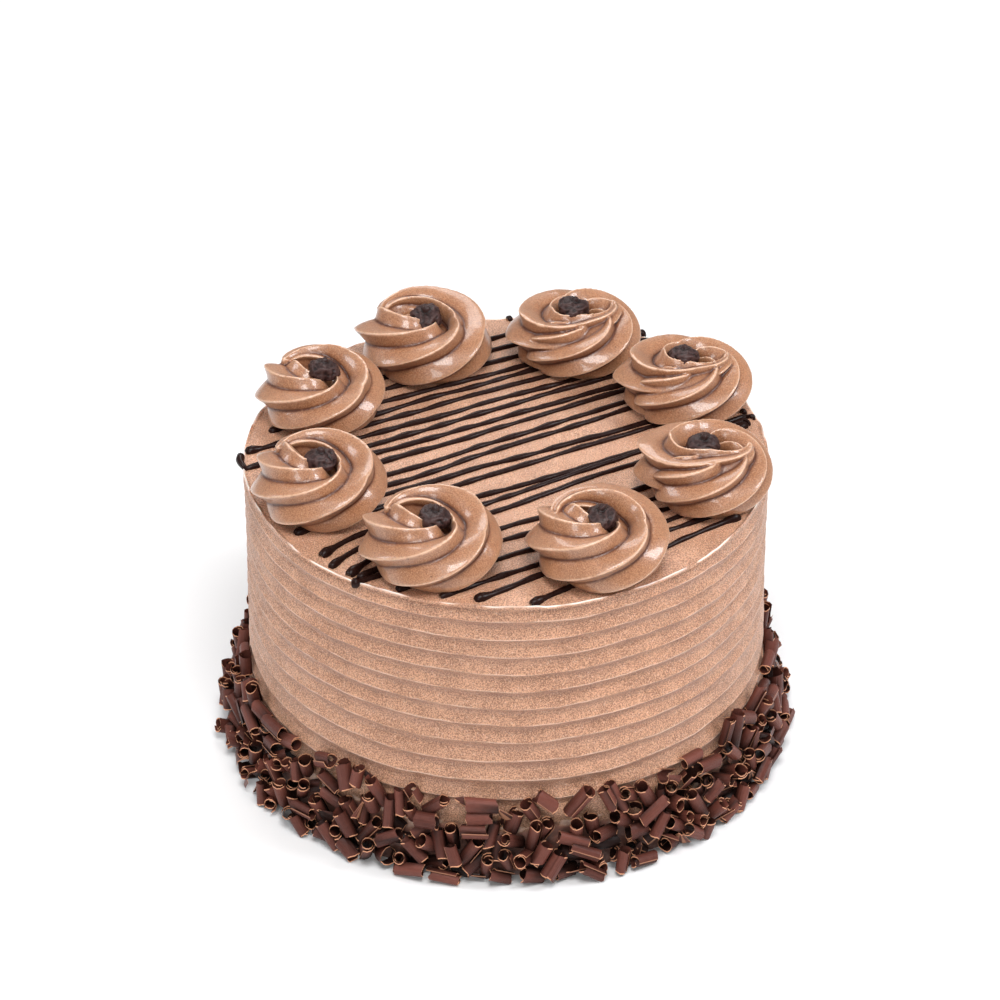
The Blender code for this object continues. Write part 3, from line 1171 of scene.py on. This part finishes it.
@dataclass
class Drizzle:
    """The chocolate drizzle: one string piped back and forth across the top, turning near the rim."""

    top: float
    angle: float = math.radians(28.5)
    reach: float = 75.0 * MM
    turn_width: float = 6.5 * MM
    width: float = 1.9 * MM
    rise: float = 1.1 * MM
    step: float = 1.6 * MM
    sides: int = 12
    sink: float = 0.1 * MM
    # How thick a string is at its tip and at the steps next to it, as shares of its width
    end_sizes: tuple[float, ...] = (0.8, 1.4, 1.6, 1.3)

    def at(self, along: float, across: float) -> Vector:
        """Finds a point on the top.

        Args:
            along: How far it is along the drizzle's run.
            across: How far it is across it.

        Returns:
            The point.
        """
        run = Vector((math.cos(self.angle), math.sin(self.angle), 0))
        aside = Vector((-run.y, run.x, 0))
        return run * along + aside * across + Vector((0, 0, self.top))

    def ends(self, number: int, passed: DrizzlePass) -> tuple[Vector, Vector]:
        """Finds where a pass starts and ends, near the rim.

        Args:
            number: Which pass it is.
            passed: The pass.

        Returns:
            Its left and right ends.
        """
        draw = random.Random(number + 70)
        found = []
        sides = ((-1, passed.left * MM, passed.reach * MM), (1, passed.right * MM, self.reach))
        for side, across, reach in sides:
            reach += draw.uniform(-1.5, 0.3) * MM
            found.append(self.at(side * math.sqrt(max(reach**2 - across**2, 0)), across))
        return found[0], found[1]

    def route(self, number: int, left: Vector, right: Vector, hook: float) -> list[Vector]:
        """Lays out one string from left to right, which wavers a little and may bend at its left end.

        Args:
            number: Which string it is.
            left: Its left end.
            right: Its right end.
            hook: How far its left end bends aside.

        Returns:
            Points along it.
        """
        count = max(int((right - left).length / self.step), 3)
        aside = Vector((0, 0, 1)).cross(right - left).normalized()
        points = []
        for step in range(count + 1):
            share = step / count
            sway = wander(number + 3, share * count * self.step / (24 * MM)) * 0.65 * MM
            sway += wander(number + 90, share * count * self.step / (7 * MM)) * 0.12 * MM
            bend = hook * (1 - min(share * count * self.step / (22 * MM), 1.0)) ** 2
            points.append(left.lerp(right, share) + aside * (sway + bend))
        return points

    def add_string(self, bm: bmesh.types.BMesh, points: list[Vector], number: int) -> None:
        """Lays one string of chocolate along a route.

        Args:
            bm: What it is added to.
            points: The route, on the top.
            number: Which string it is.
        """
        made = bmesh.ops.create_circle(bm, cap_ends=True, segments=self.sides, radius=self.width / 2)
        ring = made["verts"]
        face = ring[0].link_faces[0]
        shape = [vert.co.copy() for vert in ring]
        last = len(points) - 1
        for step, point in enumerate(points):
            ahead = points[min(step + 1, last)] - points[max(step - 1, 0)]
            aside = ahead.normalized().cross(Vector((0, 0, 1)))
            from_end = min(step, last - step)
            size = self.end_sizes[from_end] if from_end < len(self.end_sizes) else 1.0
            size *= 1 + 0.24 * wander(number + 11, step * self.step / (6 * MM))
            if from_end == 0:
                point = point.lerp(points[min(step + 1, last) if step == 0 else step - 1], 0.6)
            if step:
                face = bmesh.ops.extrude_discrete_faces(bm, faces=[face])["faces"][0]
            for vert, flat in zip(face.verts, shape):
                up = flat.y * size * self.rise / self.width * 2 - self.sink
                vert.co = point + aside * flat.x * size + Vector((0, 0, up))

    def build(self, material: bpy.types.Material) -> bpy.types.Object:
        """Lays every pass, the turn between passes that meet at the rim, and the drips.

        Args:
            material: Its finish.

        Returns:
            The drizzle.
        """
        bm = bmesh.new()
        previous: Vector | None = None
        for number, passed in enumerate(DRIZZLE_PASSES):
            left, right = self.ends(number, passed)
            points = self.route(number, left, right, passed.hook * MM)
            if number % 2 == 0:
                points.reverse()
            near = previous is not None and (previous - points[0]).length < self.turn_width
            if near or passed.joined:
                points = self.hairpin(previous, points[0]) + points
            self.add_string(bm, points, number)
            previous = points[-1]
        for number, (start, end) in enumerate(DRIPS, start=len(DRIZZLE_PASSES)):
            left, right = (Vector((*place, 0)) * MM + Vector((0, 0, self.top)) for place in (start, end))
            self.add_string(bm, self.route(number, left, right, 0.0), number)
        bmesh.ops.recalc_face_normals(bm, faces=bm.faces)
        piece = mesh_piece("chocolate_drizzle", bm, material, sharp=70)
        point_numbers(piece, "tint", np.full(len(piece.data.vertices), 0.4))
        return piece

    def hairpin(self, start: Vector, end: Vector) -> list[Vector]:
        """Lays out the turn between two passes.

        Args:
            start: The end of the one pass.
            end: The start of the next.

        Returns:
            Points along it, without the last.
        """
        middle = (start + end) / 2
        outward = Vector((middle.x, middle.y, 0)).normalized() * 1.2 * MM
        points = []
        for step in range(5):
            share = step / 5
            points.append(start.lerp(end, share) + outward * math.sin(math.pi * share))
        return points


class CurlKind(Enum):
    """The forms that shaved chocolate takes."""

    SCROLL = "scrolls"
    ARC = "arcs"
    SHARD = "shards"


@dataclass(frozen=True)
class CurlSize:
    """Size ranges of one kind of curl, in mm and degrees, how many mm it tightens a turn, and its bends."""

    radius: tuple[float, float]
    length: tuple[float, float]
    sweep: tuple[float, float]
    tightening: float
    bends: int


CURL_SIZES = {
    CurlKind.SCROLL: CurlSize((1.95, 2.55), (5.5, 10.0), (400, 560), tightening=0.62, bends=15),
    CurlKind.ARC: CurlSize((2.0, 2.9), (4.5, 8.5), (250, 340), tightening=0.3, bends=10),
    CurlKind.SHARD: CurlSize((2.5, 4.5), (4.0, 7.0), (60, 110), tightening=0.0, bends=5),
}


@dataclass
class Curl:
    """One curl: its kind, its sizes in metres and radians, and how it lies in the heap."""

    kind: CurlKind
    radius: float
    length: float
    sweep: float
    azimuth: float
    height: float
    tip: float
    swing: float
    roll: float
    tint: float
    place: Vector = field(default_factory=Vector)

    def turn(self) -> Matrix:
        """Swings the curl in the heap's surface, tips it out of it and carries it round to its azimuth.

        Returns:
            The turn.
        """
        return (
            Matrix.Rotation(self.azimuth, 4, "Z")
            @ Matrix.Rotation(self.tip, 4, "Y")
            @ Matrix.Rotation(self.swing, 4, "X")
        )

    @cached_property
    def axis(self) -> Vector:
        """The direction of the curl's own axis."""
        return self.turn().col[2].xyz

    def body_radius(self) -> float:
        """Radius of the round bar that the curl fills."""
        return self.radius if self.kind is not CurlKind.SHARD else 1.3 * MM

    def reach(self, direction: Vector) -> float:
        """How far the curl reaches from its middle in a direction."""
        share = self.axis.dot(direction)
        return abs(share) * self.length / 2 + math.sqrt(max(1 - share * share, 0)) * self.body_radius()

    def gap_at(self, point: Vector) -> float:
        """Measures from a point to the curl's skin, the curl taken as a round bar.

        Args:
            point: The point.

        Returns:
            The distance; it is negative inside the bar.
        """
        offset = point - self.place
        half = self.length / 2
        slide = max(-half, min(half, offset.dot(self.axis)))
        return (offset - self.axis * slide).length - self.body_radius()

    def gap_to(self, other: "Curl") -> float:
        """Distance between the skins of two curls, taken as round bars; it is negative where they overlap."""
        spots = (self.place + self.axis * self.length * share for share in (-0.42, -0.14, 0.14, 0.42))
        return min(other.gap_at(spot) for spot in spots) - self.body_radius()


@dataclass
class CurlHeap:
    """The curls heaped round the foot: each is moved out from the cake until it is clear of the others."""

    body: FrostedBody
    seed: int = 4
    tries: int = 12000
    weights: tuple[float, ...] = (0.76, 0.16, 0.08)
    most_shards: int = 55
    wall: float = 0.38 * MM
    top: float = 27 * MM
    overlap: float = 1.45 * MM
    end_face: float = 2.2 * MM
    seam_highlight: float = 0.4
    press: float = 0.8 * MM
    step: float = 0.4 * MM
    overtop: float = 8 * MM
    low_height: float = 10 * MM
    slide_reach: float = 15 * MM
    shade_reach: float = 12 * MM
    # How deep a point lies where the heap's shade starts and where it is full
    shade_depths: tuple[float, float] = (1.4 * MM, 4.8 * MM)
    # Heights and the radii that the heap reaches there, in mm
    envelope: tuple[tuple[float, float], ...] = (
        (0, 88.0), (6, 87.8), (12, 86.0), (18, 84.0), (24, 82.6), (34, 81.0)
    )

    def limit(self, height: float) -> float:
        """Finds how far out the heap reaches.

        Args:
            height: The height.

        Returns:
            The largest radius there.
        """
        heights = [point[0] * MM for point in self.envelope]
        radii = [point[1] * MM for point in self.envelope]
        return float(np.interp(height, heights, radii))

    def draw_curl(self, draw: random.Random, kind: CurlKind) -> Curl:
        """Draws a curl with random sizes, somewhere in the band round the foot.

        Args:
            draw: The random numbers.
            kind: The kind of curl.

        Returns:
            The curl, without its place.
        """
        size = CURL_SIZES[kind]
        height = self.top * draw.random()
        low = height < self.low_height
        swing = draw.uniform(-1.5, 1.5) if low else draw.gauss(0, 0.65)
        facing = draw.random() < (0.45 if low else 0.2)
        flat = kind is CurlKind.SHARD
        return Curl(
            kind=kind,
            radius=draw.uniform(*size.radius) * MM,
            length=draw.uniform(*size.length) * MM,
            sweep=math.radians(draw.uniform(*size.sweep)),
            azimuth=draw.uniform(0, TURN),
            height=height,
            tip=draw.uniform(0.5, 1.4) if facing and not flat else draw.gauss(0.1, 0.35),
            swing=swing,
            roll=draw.gauss(0, 0.5) if flat else draw.uniform(0, TURN),
            tint=draw.random(),
        )

    def slide_in(self, curl: Curl, placed: list[Curl]) -> bool:
        """Moves a curl from the cake's surface outwards until it is clear of the others.

        Args:
            curl: The curl, which gets its place.
            placed: The curls that already lie there.

        Returns:
            Whether it stays inside the heap's outline.
        """
        outward = round_place(1, curl.azimuth, 0)
        level = max(curl.height, curl.reach(Vector((0, 0, 1))) + 0.1 * MM)
        reach_out = curl.reach(outward)
        if level + curl.reach(Vector((0, 0, 1))) > self.top + self.overtop:
            return False
        inner = self.body.surface(level) + reach_out - self.press
        outer = self.limit(level) - reach_out * 0.75
        start = round_place(inner, curl.azimuth, level)
        near = [other for other in placed if (start - other.place).length < self.slide_reach]
        radius = inner
        while radius <= outer:
            curl.place = round_place(radius, curl.azimuth, level)
            if all(curl.gap_to(other) > -self.overlap for other in near):
                return True
            radius += self.step
        return False

    def heap(self) -> list[Curl]:
        """Draws curls and keeps those that find room.

        Returns:
            Every curl of the heap, in its place.
        """
        draw = random.Random(self.seed)
        placed: list[Curl] = []
        shards = 0
        for _ in range(self.tries):
            kind = draw.choices(list(CurlKind), self.weights)[0]
            flat = kind is CurlKind.SHARD
            curl = self.draw_curl(draw, kind)
            if not (flat and shards == self.most_shards) and self.slide_in(curl, placed):
                placed.append(curl)
                shards += flat
        return placed

    def bend(self, curl: Curl, round_share: float, along: float) -> Vector:
        """Where a point of a curl's sheet goes as it rolls up round the curl's own axis.

        Args:
            curl: The curl.
            round_share: The place round it, from its outer edge at 0 to its inner edge at 1.
            along: The place along it, from -0.5 to 0.5.

        Returns:
            The point, before the curl is laid in its place.
        """
        size = CURL_SIZES[curl.kind]
        narrowing = 1 - 0.75 * (along + 0.5) if curl.kind is CurlKind.SHARD else 1.0
        angle = curl.sweep * (round_share - 0.5) * narrowing
        tightened = size.tightening * MM * curl.sweep / TURN * round_share
        flare = 0.12 * wander(curl.tint * 17, 0.5)
        radius = (curl.radius - tightened) * (1 + flare * along)
        torn = wander(curl.tint * 40, round_share * 5, along * 9) * 0.8 * MM
        slant = wander(curl.tint * 23, 0.5) * 1.2 * MM * (round_share - 0.5)
        middle = curl.radius if curl.kind is CurlKind.SHARD else 0.0
        return round_place(radius, angle, curl.length * along + torn + slant) - Vector((middle, 0, 0))

    def depth_shade(self, curl: Curl, point: Vector, round_share: float, near: list[Curl]) -> float:
        """How much painted shade a point of a curl gets.

        Args:
            curl: The curl.
            point: The point.
            round_share: The place round the curl, from 0 to 1.
            near: The curls beside it.

        Returns:
            From 0 to 1 for lying deep in the heap, inside a scroll or against a neighbour.
        """
        depth = self.limit(point.z) - math.hypot(point.x, point.y)
        open_above = 1 - 0.6 * eased(point.z, 14 * MM, 26 * MM)
        buried = 0.95 * eased(depth, *self.shade_depths) * open_above
        rolled = 0.8 * eased(round_share, 0.6, 1.0) if curl.kind is CurlKind.SCROLL else 0.0
        gap = min((other.gap_at(point) for other in near), default=math.inf)
        touching = 0.9 * (1 - eased(gap, -0.3 * MM, 0.9 * MM))
        return max(buried, rolled, touching)

    def add_curl(self, bm: bmesh.types.BMesh, curl: Curl, near: list[Curl]) -> None:
        """Bends a thin sheet into a curl, lays it in its place and shades it.

        Args:
            bm: What it is added to.
            curl: The curl.
            near: The curls beside it.
        """
        made = bmesh.ops.create_grid(bm, x_segments=CURL_SIZES[curl.kind].bends, y_segments=1, size=0.5)
        place = Matrix.Translation(curl.place) @ curl.turn() @ Matrix.Rotation(curl.roll, 4, "Z")
        layers = bm.verts.layers.float
        for vert in made["verts"]:
            round_share, along = vert.co.x + 0.5, vert.co.y
            vert.co = place @ self.bend(curl, round_share, along)
            vert.co.z = max(vert.co.z, self.wall)
            vert[layers["tint"]] = curl.tint
            vert[layers["round"]] = round_share * curl.sweep * curl.radius / (0.5 * MM)
            vert[layers["shade"]] = self.depth_shade(curl, vert.co, round_share, near)
        faces = list(dict.fromkeys(face for vert in made["verts"] for face in vert.link_faces))
        before = set(bm.faces)
        bmesh.ops.solidify(bm, geom=faces, thickness=self.wall)
        # Painted highlight on the thin rims: full on the short ends, weaker along the long seams
        edge = bm.faces.layers.float["edge"]
        for face in set(bm.faces) - before:
            sides = [side.calc_length() for side in face.edges]
            if min(sides) < self.wall * 1.25:
                face[edge] = 1.0 if max(sides) < self.end_face else self.seam_highlight

    def build(self, material: bpy.types.Material) -> list[bpy.types.Object]:
        """Makes one piece for each kind of curl.

        Args:
            material: Their finish.

        Returns:
            The pieces.
        """
        curls = self.heap()
        pieces = []
        for kind in CurlKind:
            mine = [curl for curl in curls if curl.kind is kind]
            bm = bmesh.new()
            for number in ("tint", "round", "shade"):
                bm.verts.layers.float.new(number)
            bm.faces.layers.float.new("edge")
            for curl in mine:
                near = [other for other in curls if 0 < (other.place - curl.place).length < self.shade_reach]
                self.add_curl(bm, curl, near)
            bmesh.ops.recalc_face_normals(bm, faces=bm.faces)
            pieces.append(mesh_piece(f"chocolate_{kind.value}", bm, material, sharp=50))
            log.info("%d %s", len(mine), kind.value)
        return pieces


@dataclass(frozen=True)
class Panel:
    """A square soft light that faces the cake.

    Attributes:
        name: Its name.
        azimuth: Its direction from the cake in degrees; -90 is the viewer's side.
        elevation: Its angle above the floor in degrees.
        size: Its side in metres.
        power: Its power in watts.
        colour: Its tint.
    """

    name: str
    azimuth: float
    elevation: float
    size: float
    power: float
    colour: Colour = (1.0, 1.0, 1.0)
    distance: float = 1.1
    aim_height: float = 0.08

    def add(self) -> None:
        """Puts the light in the scene."""
        data = bpy.data.lights.new(self.name, "AREA")
        data.shape = "SQUARE"
        data.size = self.size
        data.energy = self.power
        data.color = self.colour
        light = bpy.data.objects.new(self.name, data)
        slant = math.radians(self.elevation)
        back = round_place(math.cos(slant), math.radians(self.azimuth), math.sin(slant))
        light.location = back * self.distance + Vector((0, 0, self.aim_height))
        light.rotation_euler = back.to_track_quat("Z", "Y").to_euler()
        bpy.context.scene.collection.objects.link(light)


COOL = (0.94, 0.96, 1.0)


@dataclass
class Studio:
    """The camera, the pale floor and the soft lights."""

    lens: float = 138.9
    camera_place: tuple[float, float, float] = (-0.00182, -0.94243, 0.71355)
    elevation: float = math.radians(34.04)
    floor_size: float = 3.0
    daylight: float = 0.27
    panels: tuple[Panel, ...] = (
        Panel("panel_top", -85, 64, 0.45, 8.6),
        Panel("panel_front", -100, 28, 0.3, 2.3),
        Panel("panel_right", -8, 42, 0.34, 6.1, COOL),
        Panel("panel_left", 172, 34, 0.36, 3.4, COOL),
        Panel("panel_back", 95, 45, 0.5, 3.8),
    )

    def add_camera(self) -> None:
        """A camera at the photo's viewing angle."""
        data = bpy.data.cameras.new("camera")
        data.lens = self.lens
        data.sensor_width = 36
        camera = bpy.data.objects.new("camera", data)
        camera.location = self.camera_place
        camera.rotation_euler = (math.pi / 2 - self.elevation, 0, 0)
        bpy.context.scene.collection.objects.link(camera)
        bpy.context.scene.camera = camera

    def add_floor(self) -> None:
        """The floor that the cake stands on."""
        bm = bmesh.new()
        bmesh.ops.create_grid(bm, x_segments=1, y_segments=1, size=self.floor_size)
        mesh_piece("floor", bm, FloorFinish().material())

    def add_lights(self) -> None:
        """Soft light from all round, with five panels."""
        world = bpy.data.worlds.new("studio")
        bpy.context.scene.world = world
        world.use_nodes = True
        background = world.node_tree.nodes["Background"]
        background.inputs["Color"].default_value = (1.0, 1.0, 1.0, 1.0)
        background.inputs["Strength"].default_value = self.daylight
        for panel in self.panels:
            panel.add()

    def build(self) -> None:
        """Sets up the whole studio."""
        self.add_camera()
        self.add_floor()
        self.add_lights()
        bpy.context.scene.view_settings.view_transform = "Standard"


def dress_body(body: FrostedBody) -> None:
    """Makes the frosting, drizzle and curls, which stand for the CAD cake.

    Args:
        body: The cake without its toppings.
    """
    frosting = body.build(SIDE_CREAM.material())
    settle(frosting, "buttercream", "frosted_cake")
    log.info("frosting: %d faces", len(frosting.data.polygons))
    drizzle = Drizzle(top=body.height).build(DRIZZLE_CHOCOLATE.material())
    settle(drizzle, "dark_chocolate")
    log.info("drizzle: %d faces", len(drizzle.data.polygons))
    for piece in CurlHeap(body=body).build(CURL_CHOCOLATE.material()):
        settle(piece, "dark_chocolate")
        log.info("%s: %d faces", piece.name, len(piece.data.polygons))


def dress_rosettes(body: FrostedBody) -> None:
    """Makes the rosettes and their drops.

    Args:
        body: The cake that they stand on.
    """
    cream = PIPED_CREAM.material()
    chocolate = DROP_CHOCOLATE.material()
    for number, place in enumerate(ROSETTES, start=1):
        rosette = Rosette(place=place, number=number, base=body.height).build(cream)
        settle(rosette, "rosette_cream", f"rosette_{number}")
        drop = ChocolateDrop(place=place, number=number, base=body.height).build(chocolate)
        settle(drop, "dark_chocolate", f"chocolate_drop_{number}")
        log.info("rosette %d: %d faces", number, len(rosette.data.polygons))


def main() -> None:
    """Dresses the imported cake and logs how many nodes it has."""
    logging.basicConfig(level=logging.INFO, format="%(name)s: %(message)s")
    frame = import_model()
    log.info("frame: %d nodes", len(frame["nodes"]))
    Studio().build()
    body = FrostedBody()
    dress_body(body)
    dress_rosettes(body)


if __name__ == "__main__":
    main()
